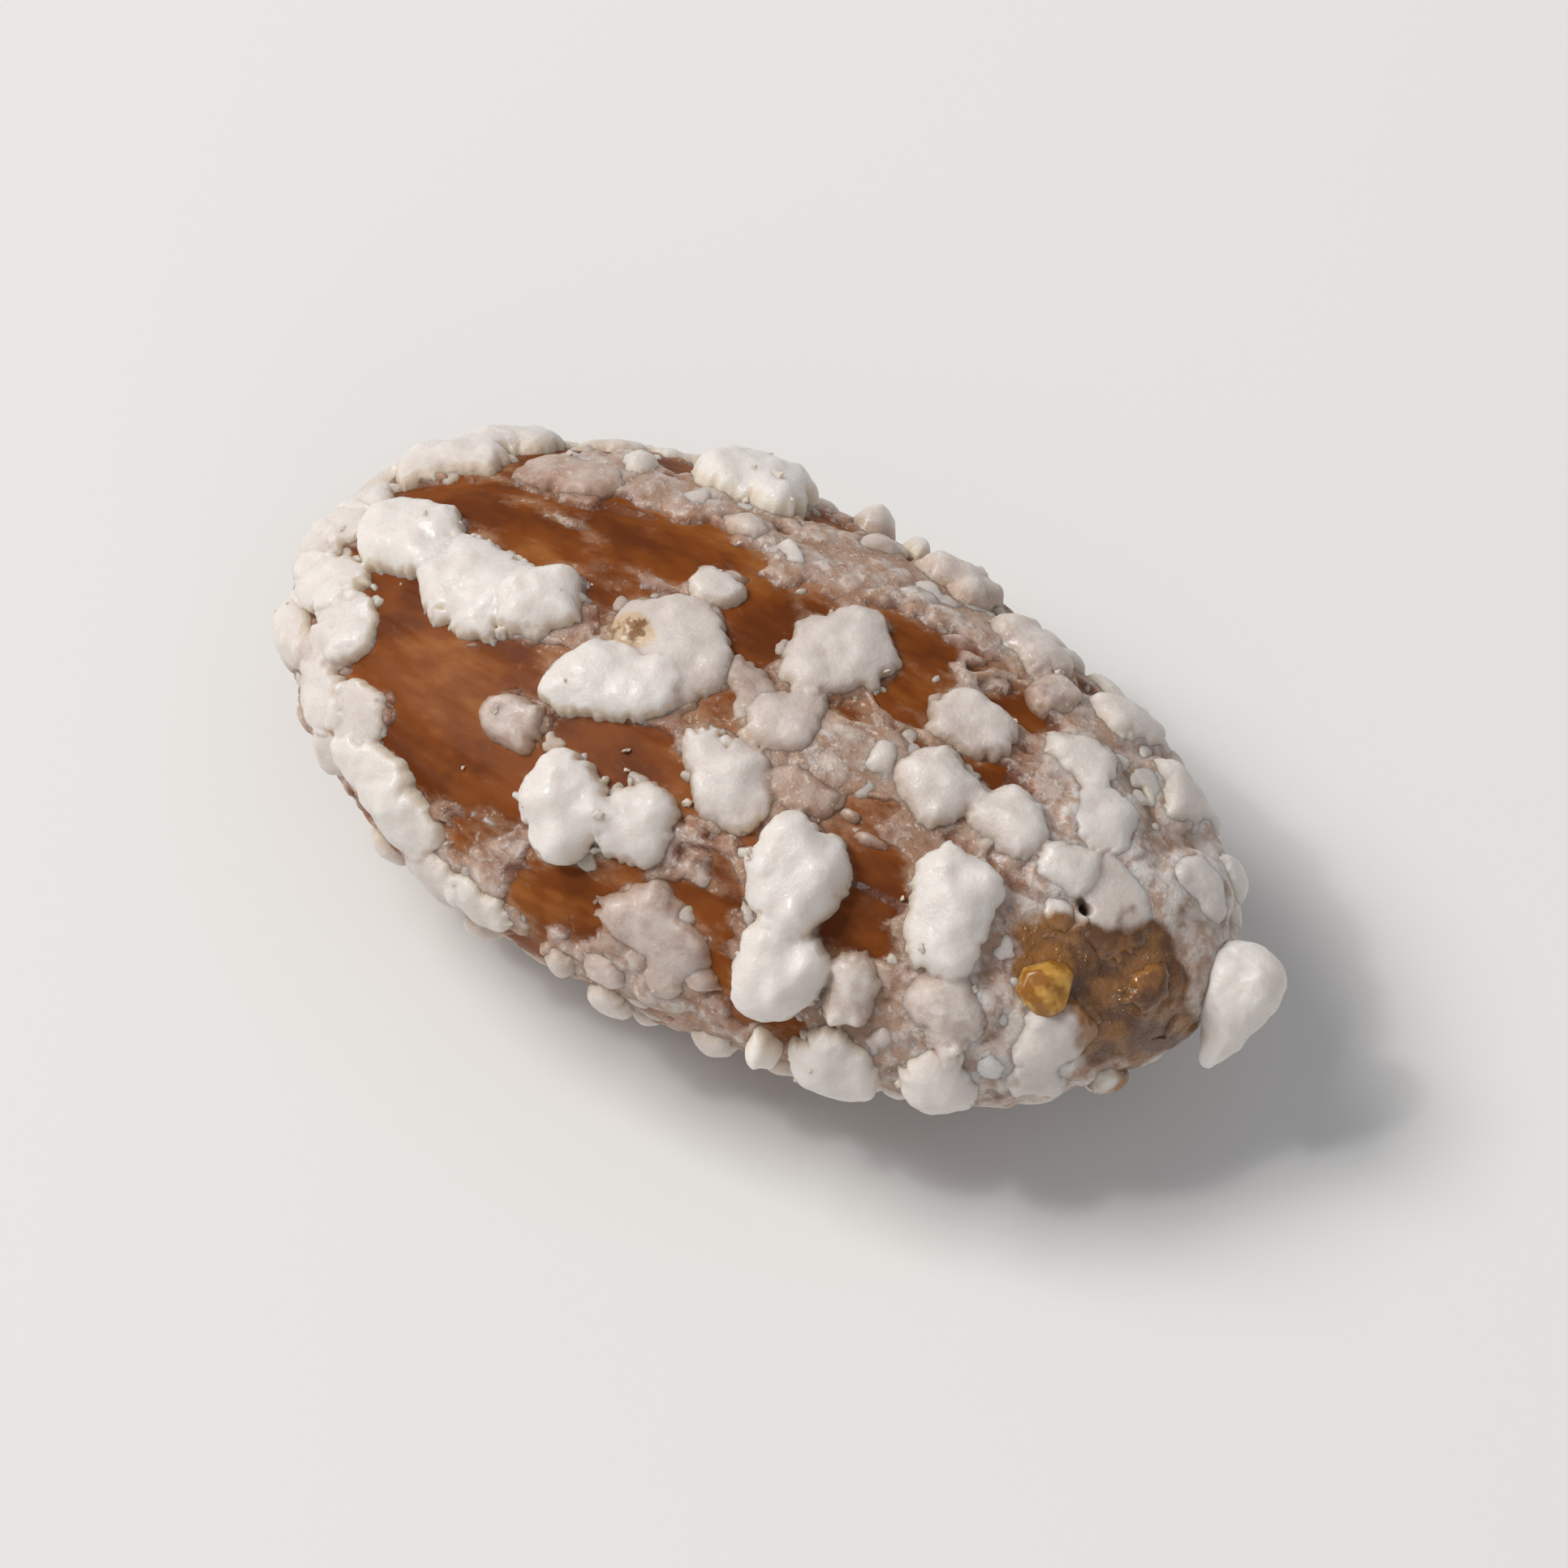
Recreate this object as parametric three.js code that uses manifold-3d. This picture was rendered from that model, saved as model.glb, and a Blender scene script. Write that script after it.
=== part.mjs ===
// Candied roasted almond, lying on its belly: a roasted kernel in its skin under a crust of
// crystallised sugar, a thin film with lumps grown on it, all one solid. Millimetres, +Z up, X along
// the kernel with its tip at +X, origin on the surface it lies on, under the middle of its outline.
import * as THREE from "three";
import { mergeVertices } from "three/addons/utils/BufferGeometryUtils.js";
import Module from "manifold-3d";

const wasm = await Module();
wasm.setup();

// Kernel in its skin
const kernelLength = 25.0;
const kernelWidth = 14.0;
const kernelThickness = 8.3;
const tipTaper = 0.05; // share of the width and thickness lost at the tip and gained at the blunt end
const restRise = 0.72; // gap that the belly's lumps hold under the kernel
const middleAlong = -0.79; // brings the middle of the whole outline over the origin
const middleAcross = -0.03;

// Film of sugar over the skin, and the thicker crust that it becomes at the tip
const filmThickness = 0.14;
const tipCrust = { from: 5.6, to: 8.8, thickness: 0.34 };
const bellyBareness = 0.3; // higher leaves less bare skin on the belly

// Lumps that stand out on the upper face: where on the face, length and width on the skin, height
// above it, and the turn of the long side from the kernel's length towards +Y, in degrees
const standingLumps = [
  { along: -9.8, across: 0.1, long: 2.3, wide: 2.1, high: 0.95, turn: 20 },
  { along: -7.6, across: -0.6, long: 3.0, wide: 2.2, high: 0.85, turn: -5 },
  { along: -5.8, across: -0.4, long: 1.9, wide: 1.7, high: 0.9, turn: 40 },
  { along: -3.1, across: -1.7, long: 3.2, wide: 1.9, high: 0.85, turn: 25 },
  { along: -2.3, across: -0.2, long: 3.2, wide: 2.6, high: 0.75, turn: -15 },
  { along: -2.6, across: -4.7, long: 2.3, wide: 2.2, high: 1.2, turn: 0 },
  { along: -0.8, across: -4.4, long: 1.7, wide: 1.5, high: 0.8, turn: 30 },
  { along: 0.5, across: -2.5, long: 2.7, wide: 1.5, high: 0.75, turn: -40 },
  { along: 2.3, across: -1.9, long: 1.7, wide: 0.9, high: 0.4, turn: 20 },
  { along: 3.2, across: -3.7, long: 2.6, wide: 2.2, high: 1.25, turn: -65 },
  { along: 3.9, across: -5.7, long: 2.2, wide: 2.2, high: 1.2, turn: 0 },
  { along: 5.7, across: -5.3, long: 1.5, wide: 1.4, high: 0.75, turn: -60 },
  { along: 7.0, across: -2.7, long: 3.0, wide: 2.2, high: 1.25, turn: -62 },
  { along: 7.9, across: -4.3, long: 2.2, wide: 1.7, high: 0.85, turn: 0 },
  { along: 0.7, across: -6.2, long: 3.4, wide: 1.7, high: 0.6, turn: -4 },
  { along: 6.0, across: -6.3, long: 2.0, wide: 1.6, high: 0.95, turn: 0 },
  { along: 8.3, across: -5.2, long: 1.8, wide: 1.6, high: 0.9, turn: -20 },
  { along: 1.3, across: 1.9, long: 2.8, wide: 2.4, high: 0.75, turn: 60 },
  { along: 1.1, across: -0.4, long: 2.2, wide: 1.3, high: 0.6, turn: 45 },
  { along: -3.3, across: 5.8, long: 2.8, wide: 2.3, high: 1.1, turn: 20 },
  { along: 5.2, across: -0.1, long: 1.9, wide: 1.7, high: 0.8, turn: 0 },
  { along: 7.0, across: 0.0, long: 1.8, wide: 1.3, high: 0.75, turn: -10 },
  { along: 5.0, across: 1.9, long: 2.2, wide: 1.6, high: 0.75, turn: 10 },
  { along: 7.5, across: 2.7, long: 1.4, wide: 1.2, high: 0.65, turn: 0 },
  { along: 8.7, across: -0.2, long: 1.4, wide: 1.2, high: 0.65, turn: 30 },
  { along: 8.8, across: 1.5, long: 2.0, wide: 1.5, high: 0.65, turn: -50 },
  { along: 10.2, across: -0.2, long: 2.3, wide: 2.2, high: 0.5, turn: 0 },
  { along: 11.2, across: 1.6, long: 1.5, wide: 1.3, high: 0.6, turn: 20 },
  { along: 6.1, across: 4.1, long: 1.1, wide: 0.9, high: 0.5, turn: 0 },
  { along: 2.2, across: 6.1, long: 2.2, wide: 1.5, high: 0.8, turn: 0 },
  { along: 4.8, across: 5.1, long: 2.2, wide: 1.4, high: 0.8, turn: -10 },
  { along: 7.6, across: 4.7, long: 1.7, wide: 1.5, high: 0.7, turn: -20 },
  { along: 9.7, across: 3.7, long: 2.0, wide: 1.5, high: 0.7, turn: -30 },
  { along: -4.8, across: -3.4, long: 1.3, wide: 1.1, high: 0.5, turn: 0 },
  { along: -2.4, across: 2.0, long: 0.9, wide: 0.8, high: 0.45, turn: 0 },
  { along: -10.2, across: -2.5, long: 1.9, wide: 1.2, high: 0.5, turn: 120 },
  { along: -8.6, across: -4.4, long: 1.6, wide: 1.1, high: 0.42, turn: 120 },
  { along: -10.3, across: 3.0, long: 2.8, wide: 1.5, high: 0.75, turn: 35 },
  { along: -7.3, across: 3.6, long: 2.4, wide: 1.4, high: 0.5, turn: 12 },
  { along: 10.2, across: -3.5, long: 2.4, wide: 1.5, high: 0.7, turn: 42 },
];
const knobs = 4; // small knobs round the edge of each standing lump
const knobSize = { least: 0.36, most: 0.56 }; // share of the lump's own size

// Bare skin on the upper face: middle of each patch and its half sizes
const barePatches = [
  { along: -7.6, across: -2.6, long: 3.2, wide: 1.4 },
  { along: -5.2, across: -4.9, long: 2.6, wide: 1.3 },
  { along: -8.6, across: 1.7, long: 2.7, wide: 0.7 },
  { along: -4.0, across: 2.8, long: 2.0, wide: 1.2 },
  { along: -1.4, across: -2.9, long: 2.5, wide: 1.0 },
  { along: -1.6, across: -6.4, long: 1.9, wide: 0.7 },
  { along: 0.9, across: -4.9, long: 1.5, wide: 0.8 },
  { along: 3.4, across: -6.6, long: 2.6, wide: 0.6 },
  { along: 5.2, across: -3.4, long: 1.1, wide: 1.5 },
  { along: -0.7, across: 1.7, long: 1.2, wide: 1.3 },
  { along: 3.3, across: 1.5, long: 1.2, wide: 0.7 },
  { along: 6.2, across: 1.1, long: 1.0, wide: 0.5 },
  { along: 5.9, across: 3.4, long: 1.1, wide: 0.7 },
  { along: 3.4, across: 3.8, long: 1.3, wide: 0.7 },
  { along: 8.0, across: -0.9, long: 0.8, wide: 0.6 },
  { along: 10.9, across: -2.1, long: 1.8, wide: 0.9 },
];

// Rim of long lumps round the blunt end, from the far edge to the near one, in degrees from the tip
const rim = { from: 112, to: 252, count: 20, long: 2.5, wide: 2.1, high: 0.62, above: 0.27, uneven: 0.6 };

// Drop of sugar that hangs across the tip, leaning up to the far side
const tipDrop = { long: 3.3, wide: 1.9, high: 1.75, lean: 32 };

// Lumps under the belly that the almond lies on, cut flat by the surface under it
const bellyLumps = { ring: 4, along: 3.7, across: 2.3, turn: 40, size: 2.3, high: 1.25 };

// Lumps that the seeded rule spreads over the rest, the largest first
const lumpCount = 170;
const largestLump = 0.86; // mean radius on the skin
const smallestLump = 0.46;
const lumpSpacing = 0.96; // least distance between two lumps, as a share of their radii
const lumpTries = 60;
// share of the lumps that stays, and how much less it is on the upper face
const lumpCover = { middle: 0.55, towardsTip: 0.45, mottled: 0.15, upperLoses: 0.85 };
const lumpStretch = 0.6; // the longest lumps are this much longer than wide
const flattestLump = 0.6; // height as a share of the radius
const heightSpread = 0.4;
const drawSeed = 20117;

const meshDetail = 23; // each triangle of the ball that the almond is shaped from is split this often

const halfLength = kernelLength / 2;
const halfWidth = kernelWidth / 2;
const halfThickness = kernelThickness / 2;
const kernelMiddle = new THREE.Vector3(middleAlong, middleAcross, halfThickness + restRise);
const degree = Math.PI / 180;

// A point of the skin, from the unit direction of the ball that the kernel is stretched from
function skinPoint(direction) {
  const girth = 1 - tipTaper * direction.x;
  return new THREE.Vector3(
    halfLength * direction.x,
    halfWidth * girth * direction.y,
    halfThickness * girth * direction.z,
  ).add(kernelMiddle);
}

// The skin's outward normal there: the gradient of the stretched ball
function skinNormal(direction) {
  const girth = 1 - tipTaper * direction.x;
  const roundness = direction.y ** 2 + direction.z ** 2;
  return new THREE.Vector3(
    (direction.x + (tipTaper * roundness) / girth) / halfLength,
    direction.y / (halfWidth * girth),
    direction.z / (halfThickness * girth),
  ).normalize();
}

// The direction of a place on the upper face (side 1) or the belly (side -1), given in millimetres
function faceDirection(along, across, side = 1) {
  const x = along / halfLength;
  const y = across / (halfWidth * (1 - tipTaper * x));
  const z = side * Math.sqrt(Math.max(0, 1 - x * x - y * y));
  return new THREE.Vector3(x, y, z).normalize();
}

// Lehmer's generator: each draw is the last one times 16807, modulo a prime
const drawPrime = 2147483647;
let drawState = drawSeed;
function draw() {
  drawState = (drawState * 16807) % drawPrime;
  return drawState / drawPrime;
}

// A lump: its middle on the skin, its half sizes along its two axes there, its height
function makeLump(direction, halfLong, halfWide, high, turn) {
  const normal = skinNormal(direction);
  const lengthwise = new THREE.Vector3(1, 0, 0).addScaledVector(normal, -normal.x);
  if (lengthwise.lengthSq() < 1e-3) lengthwise.set(0, 1, 0);
  lengthwise.normalize();
  const sideways = new THREE.Vector3().crossVectors(normal, lengthwise);
  const longAxis = lengthwise.clone().multiplyScalar(Math.cos(turn)).addScaledVector(sideways, Math.sin(turn));
  const wideAxis = new THREE.Vector3().crossVectors(normal, longAxis);
  return { direction, middle: skinPoint(direction), normal, longAxis, wideAxis, halfLong, halfWide, high };
}

// A standing lump with knobs round its edge, each a smaller lump
function knobbedLump({ along, across, long, wide, high, turn }) {
  const angle = turn * degree;
  const size = Math.sqrt(long * wide) / 2;
  const made = [makeLump(faceDirection(along, across), long / 2, wide / 2, high, angle)];
  for (let i = 0; i < knobs; i++) {
    const round = (2 * Math.PI * (i + 0.6 * draw())) / knobs;
    const reach = (0.72 + 0.22 * draw()) / 2;
    const radius = size * (knobSize.least + (knobSize.most - knobSize.least) * draw());
    const rise = Math.min(high, radius) * (0.75 + 0.25 * draw());
    const a = reach * Math.cos(round) * long;
    const b = reach * Math.sin(round) * wide;
    const x = along + a * Math.cos(angle) - b * Math.sin(angle);
    const y = across + a * Math.sin(angle) + b * Math.cos(angle);
    made.push(makeLump(faceDirection(x, y), radius, radius, rise, 0));
  }
  return made;
}

// The rim's lumps: their long sides follow the outline
function rimLumps() {
  return Array.from({ length: rim.count }, (_, i) => {
    const angle = (rim.from + ((rim.to - rim.from) * i) / (rim.count - 1)) * degree;
    const uneven = 1 + rim.uneven * (draw() - 0.5);
    const up = rim.above * -Math.cos(angle) * (0.3 + 1.4 * draw());
    const direction = new THREE.Vector3(Math.cos(angle), Math.sin(angle), up).normalize();
    const [halfLong, halfWide] = [(rim.long / 2) * uneven, (rim.wide / 2) * Math.sqrt(uneven)];
    return makeLump(direction, halfLong, halfWide, rim.high * uneven, 0);
  });
}

function restingLumps() {
  return Array.from({ length: bellyLumps.ring + 1 }, (_, i) => {
    const angle = (i * 2 * Math.PI) / bellyLumps.ring + bellyLumps.turn * degree;
    const reach = i < bellyLumps.ring ? 1 : 0; // the last one lies under the middle
    const along = reach * bellyLumps.along * Math.cos(angle) - middleAlong;
    const across = reach * bellyLumps.across * Math.sin(angle) - middleAcross;
    const radius = bellyLumps.size / 2;
    return makeLump(faceDirection(along, across, -1), radius, radius, bellyLumps.high, 0);
  });
}

// Slow waves over the skin, about -1 to 1, that mottle the film
function mottle(p) {
  return (
    (Math.sin(0.9 * p.x + 1.3 * p.y + 0.5) +
      Math.sin(1.2 * p.y - 1.7 * p.z - 0.5 * p.x + 2) +
      Math.sin(1.5 * p.z + 0.7 * p.x - 0.8 * p.y + 4)) /
    2
  );
}

// How bare the skin is at a place, 0 under the film to 1 in the middle of a bare patch
function bareness(direction, point) {
  if (direction.z < 0) return THREE.MathUtils.smoothstep(mottle(point), bellyBareness, bellyBareness + 0.4);
  const along = point.x - kernelMiddle.x;
  const across = point.y - kernelMiddle.y;
  const depth = (patch) =>
    1.15 - ((along - patch.along) / patch.long) ** 2 - ((across - patch.across) / patch.wide) ** 2;
  return THREE.MathUtils.smoothstep(Math.max(...barePatches.map(depth)), 0, 0.35);
}

// The share of drawn lumps that stays at a place: none on bare skin, most towards the tip
function cover(direction) {
  const point = skinPoint(direction);
  const share = lumpCover.middle + lumpCover.towardsTip * direction.x + lumpCover.mottled * mottle(point);
  const lost = lumpCover.upperLoses * THREE.MathUtils.smoothstep(direction.z, 0.3, 0.6);
  return share * (1 - bareness(direction, point)) * (1 - lost);
}

// The lumps that the rule spreads: thrown at random, and kept where no other lump is too near
function spreadLumps(taken) {
  const kept = taken.map((lump) => ({
    point: lump.middle,
    radius: Math.sqrt(lump.halfLong * lump.halfWide),
  }));
  const spread = [];
  for (let i = 0; i < lumpCount; i++) {
    const radius = largestLump * (smallestLump / largestLump) ** (i / (lumpCount - 1));
    for (let t = 0; t < lumpTries; t++) {
      const x = 2 * draw() - 1;
      const angle = 2 * Math.PI * draw();
      const chance = draw();
      const around = Math.sqrt(1 - x * x);
      const direction = new THREE.Vector3(x, around * Math.cos(angle), around * Math.sin(angle));
      const point = skinPoint(direction);
      const near = (other) => point.distanceTo(other.point) < lumpSpacing * (radius + other.radius);
      if (chance > cover(direction) || kept.some(near)) continue;
      const stretch = Math.sqrt(1 + lumpStretch * draw());
      const turn = Math.PI * draw();
      const high = radius * (flattestLump + heightSpread * draw());
      kept.push({ point, radius });
      spread.push(makeLump(direction, radius * stretch, radius / stretch, high, turn));
      break;
    }
  }
  return spread;
}

// Height of one lump over a point of the skin: a dome with a flattened top and a wavy edge
function lumpHeight(lump, index, point) {
  const offset = point.clone().sub(lump.middle);
  const reach = 1.4 * Math.max(lump.halfLong, lump.halfWide);
  if (offset.lengthSq() > reach * reach) return 0;
  const u = offset.dot(lump.longAxis) / lump.halfLong;
  const v = offset.dot(lump.wideAxis) / lump.halfWide;
  const w = offset.dot(lump.normal) / (lump.halfLong + lump.halfWide);
  const angle = Math.atan2(v, u);
  const wavy = 1 + 0.09 * Math.sin(2 * angle + index) + 0.07 * Math.sin(3 * angle + 2 * index);
  const out = Math.sqrt(u * u + v * v + w * w) / wavy;
  if (out >= 1) return 0;
  return lump.high * (1 - out ** 2.4) ** 0.8 * (1 + 0.12 * u * Math.cos(index));
}

// Height of the sugar over a point of the skin: the film and the lumps on it, on the tip's crust
function sugarHeight(direction, point, lumps) {
  const film = filmThickness * (1 + 0.35 * mottle(point)) * (1 - bareness(direction, point));
  const crust = THREE.MathUtils.smoothstep(point.x - kernelMiddle.x, tipCrust.from, tipCrust.to);
  const highest = Math.max(...lumps.map((lump, i) => lumpHeight(lump, i, point)));
  return Math.max(film, highest) + tipCrust.thickness * crust;
}

// A closed geometry as a solid for cutting
function solidOf(geometry) {
  const bare = new THREE.BufferGeometry().setAttribute("position", geometry.getAttribute("position"));
  if (geometry.index) bare.setIndex(geometry.index);
  const merged = mergeVertices(bare, 1e-4);
  return new wasm.Manifold(
    new wasm.Mesh({
      numProp: 3,
      vertProperties: new Float32Array(merged.attributes.position.array),
      triVerts: new Uint32Array(merged.index.array),
    }),
  );
}

// The almond's surface: a faceted ball, its points drawn evenly over the kernel and raised by the sugar
function sugaredSurface(lumps) {
  const ball = new THREE.IcosahedronGeometry(1, meshDetail).rotateX(0.4).rotateZ(0.7);
  const position = ball.getAttribute("position");
  const direction = new THREE.Vector3();
  for (let i = 0; i < position.count; i++) {
    direction.fromBufferAttribute(position, i);
    direction.x /= Math.sqrt(halfLength);
    direction.y /= Math.sqrt(halfWidth);
    direction.z /= Math.sqrt(halfThickness);
    direction.normalize();
    const point = skinPoint(direction);
    const raised = point.clone().addScaledVector(skinNormal(direction), sugarHeight(direction, point, lumps));
    position.setXYZ(i, raised.x, raised.y, raised.z);
  }
  return ball;
}

function almondGeometry() {
  const placed = [...standingLumps.flatMap(knobbedLump), ...rimLumps(), ...restingLumps()];
  const tip = new THREE.Vector3(1, 0, 0);
  placed.push(makeLump(tip, tipDrop.long / 2, tipDrop.wide / 2, tipDrop.high, tipDrop.lean * degree));
  const surface = solidOf(sugaredSurface([...placed, ...spreadLumps(placed)]));
  const depth = 2 * kernelLength;
  const ground = solidOf(new THREE.BoxGeometry(depth, depth, depth).translate(0, 0, -depth / 2));
  const mesh = surface.subtract(ground).getMesh();
  return new THREE.BufferGeometry()
    .setAttribute("position", new THREE.BufferAttribute(mesh.vertProperties, 3))
    .setIndex(new THREE.BufferAttribute(mesh.triVerts, 1));
}

const sugaredSkin = new THREE.MeshStandardMaterial({ color: 0xc4b0a4, roughness: 0.55, metalness: 0 });

const almond = new THREE.Mesh(almondGeometry(), sugaredSkin);
almond.name = "candied_almond";

const group = new THREE.Group();
group.add(almond);

export default group;
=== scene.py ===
import bpy
import numpy as np
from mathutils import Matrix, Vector


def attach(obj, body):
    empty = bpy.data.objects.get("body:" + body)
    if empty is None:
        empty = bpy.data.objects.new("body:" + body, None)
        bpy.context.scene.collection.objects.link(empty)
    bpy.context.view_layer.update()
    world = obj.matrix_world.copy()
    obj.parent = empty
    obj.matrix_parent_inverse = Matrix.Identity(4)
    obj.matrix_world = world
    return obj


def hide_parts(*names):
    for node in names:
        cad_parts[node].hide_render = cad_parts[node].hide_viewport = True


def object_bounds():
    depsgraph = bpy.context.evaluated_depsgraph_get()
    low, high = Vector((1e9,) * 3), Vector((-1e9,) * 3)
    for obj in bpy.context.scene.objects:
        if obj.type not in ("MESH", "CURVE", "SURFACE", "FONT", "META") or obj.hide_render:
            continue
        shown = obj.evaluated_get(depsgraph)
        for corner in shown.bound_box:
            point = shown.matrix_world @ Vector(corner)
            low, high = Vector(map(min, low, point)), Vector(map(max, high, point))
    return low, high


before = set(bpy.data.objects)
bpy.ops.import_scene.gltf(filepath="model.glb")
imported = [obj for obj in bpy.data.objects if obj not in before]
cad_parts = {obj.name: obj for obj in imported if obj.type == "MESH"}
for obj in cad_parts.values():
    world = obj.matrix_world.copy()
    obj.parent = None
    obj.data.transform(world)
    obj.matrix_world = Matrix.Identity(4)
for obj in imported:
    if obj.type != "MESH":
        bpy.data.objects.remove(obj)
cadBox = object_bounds()
millimetre = 0.001


# The kernel: a ball stretched to its size and narrowed a little towards the tip, in millimetres
kernel = {
    "length": 25.0,
    "width": 14.0,
    "thickness": 8.3,
    "tipTaper": 0.05,  # share of width and thickness lost at the tip and gained at the blunt end
    "restRise": 0.72,  # gap under it that the belly's lumps hold
    "middleAlong": -0.79,
    "middleAcross": -0.03,
    "footRounds": 4,  # steps in which a point's foot on the skin is found
}
kernelHalf = np.array([kernel["length"], kernel["width"], kernel["thickness"]]) / 2
kernelMiddle = np.array([kernel["middleAlong"], kernel["middleAcross"], kernelHalf[2] + kernel["restRise"]])


def unit(rows):
    # each row divided by its length
    return rows / np.linalg.norm(rows, axis=1, keepdims=True)


def girth(x):
    # share of the full width and thickness at x, which runs from -1 at the blunt end to 1 at the tip
    return 1 - kernel["tipTaper"] * x


def skinPoint(direction):
    # the ball's unit direction times the half sizes, y and z times the girth there
    around = girth(direction[:, 0])
    return direction * np.stack([np.ones_like(around), around, around], 1) * kernelHalf + kernelMiddle


def skinNormal(direction):
    # the gradient of the stretched ball, one unit long
    x, y, z = direction.T
    around = girth(x)
    along = (x + kernel["tipTaper"] * (y**2 + z**2) / around) / kernelHalf[0]
    return unit(np.stack([along, y / (kernelHalf[1] * around), z / (kernelHalf[2] * around)], 1))


def raised(direction, height):
    # points this high over the skin
    return skinPoint(direction) + skinNormal(direction) * np.reshape(height, (-1, 1))


def nearestSkin(point):
    # the ball's direction at a point's foot on the skin, and how far the point stands off it. The foot is
    # guessed by shrinking the kernel to a ball, then moved by the part of the gap that leaves the normal
    target = point
    for _ in range(kernel["footRounds"]):
        offset = (target - kernelMiddle) / kernelHalf
        offset[:, 1:] /= girth(np.clip(offset[:, :1], -1, 1))
        direction = unit(offset)
        normal = skinNormal(direction)
        standing = np.einsum("ij,ij->i", point - skinPoint(direction), normal)
        target = point - normal * standing[:, None]
    return direction, standing


def faceDirection(along, across, side):
    # the ball's direction over a place of the upper face (side 1) or the belly (side -1)
    x = along / kernelHalf[0]
    y = across / (kernelHalf[1] * girth(x))
    direction = np.array([x, y, side * np.sqrt(max(0.0, 1 - x * x - y * y))])
    return direction / np.linalg.norm(direction)


def hashed(cell, seed):
    # a whole number scrambled from a cell's three and the seed by large odd factors and shifts
    x, y, z = cell.T
    mixed = (x * 73856093) ^ (y * 19349663) ^ (z * 83492791) ^ (seed * 2654435761)
    mixed = (mixed ^ (mixed >> 13)) * 1274126177
    return mixed ^ (mixed >> 16)


def latticeNoise(point, seed):
    # a value from -1 to 1 hashed at each whole-number corner, blended between corners by 3t^2 - 2t^3
    cell = np.floor(point).astype(np.int64)
    part = point - cell
    part = part * part * (3 - 2 * part)
    total = np.zeros(len(point))
    for corner in range(8):
        step = np.array([corner & 1, corner >> 1 & 1, corner >> 2 & 1])
        share = np.where(step, part, 1 - part).prod(1)
        total += share * ((hashed(cell + step, seed) & 0xFFFF) / 32767.5 - 1)
    return total


def roughNoise(point, size, octaves, seed):
    # lattice noise at this feature size, plus each octave at half the size and half the height
    total = np.zeros(len(point))
    for octave in range(octaves):
        total += latticeNoise(point / size * 2**octave + 7.3 * octave, seed + octave) / 2**octave
    return total / (2 - 0.5 ** (octaves - 1))


def noiseVector(point, size, octaves, seed, apart=1):
    # rough noise along each axis, with seeds this far apart
    return np.stack([roughNoise(point, size, octaves, seed + apart * axis) for axis in range(3)], 1)


def cells(point, size, seed):
    # the cell that a point is in, with one scattered middle per cube of this size: how far its middle
    # is, how much farther the next one is, both as shares of the size, and the cell's own number from
    # 0 to 1
    place = point / size
    corner = np.floor(place).astype(np.int64)
    first = np.full(len(point), 9.0)
    second = first.copy()
    number = np.zeros(len(point))
    for neighbour in range(27):
        cell = corner + np.array([neighbour % 3, neighbour // 3 % 3, neighbour // 9]) - 1
        mixed = hashed(cell, seed)
        jitter = np.stack([mixed & 0xFF, mixed >> 8 & 0xFF, mixed >> 16 & 0xFF], 1) / 255
        far = ((place - cell - jitter) ** 2).sum(1)
        nearer = far < first
        second = np.where(nearer, first, np.minimum(second, far))
        number = np.where(nearer, (mixed >> 24 & 0xFF) / 255, number)
        first = np.where(nearer, far, first)
    first, second = np.sqrt(first), np.sqrt(second)
    return first, second - first, number


def between(ends, share):
    # this share of the way from the first to the second
    return ends[0] + (ends[1] - ends[0]) * share


def smoothStep(value, low, high):
    # 0 below low, 1 above high, 3t^2 - 2t^3 between
    t = np.clip((value - low) / (high - low), 0, 1)
    return t * t * (3 - 2 * t)


def ballGrid(rings, around, crowded=0):
    # unit directions: rings run from +X to -X, each goes once round X, more crowded on the upper side
    # where asked, and a point closes each end
    theta = np.pi * np.arange(1, rings) / rings
    phi = 2 * np.pi * np.arange(around) / around
    phi += crowded * np.cos(phi)
    x = np.repeat(np.cos(theta), around)
    y = np.outer(np.sin(theta), np.cos(phi)).ravel()
    z = np.outer(np.sin(theta), np.sin(phi)).ravel()
    direction = np.concatenate([[[1, 0, 0]], np.stack([x, y, z], 1), [[-1, 0, 0]]])
    here = 1 + np.arange((rings - 1) * around).reshape(rings - 1, around)
    beside = np.roll(here, -1, axis=1)
    quads = np.stack([here[:-1], here[1:], beside[1:], beside[:-1]], -1).reshape(-1, 4)
    tip = np.stack([np.zeros(around, int), here[0], beside[0]], 1)
    end = np.stack([np.full(around, len(direction) - 1), beside[-1], here[-1]], 1)
    return direction, quads, np.concatenate([tip, end])


def makeMesh(name, point, quads, triangles):
    mesh = bpy.data.meshes.new(name)
    corner = np.concatenate([quads.ravel(), triangles.ravel()]).astype(np.int32)
    size = np.repeat([4, 3], [len(quads), len(triangles)])
    mesh.vertices.add(len(point))
    mesh.vertices.foreach_set("co", point.astype(np.float32).ravel())
    mesh.loops.add(len(corner))
    mesh.loops.foreach_set("vertex_index", corner)
    mesh.polygons.add(len(size))
    mesh.polygons.foreach_set("loop_start", (np.cumsum(size) - size).astype(np.int32))
    mesh.update(calc_edges=True)
    return mesh


def linked(name, data):
    # a new object in the scene
    made = bpy.data.objects.new(name, data)
    bpy.context.scene.collection.objects.link(made)
    return made


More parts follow.
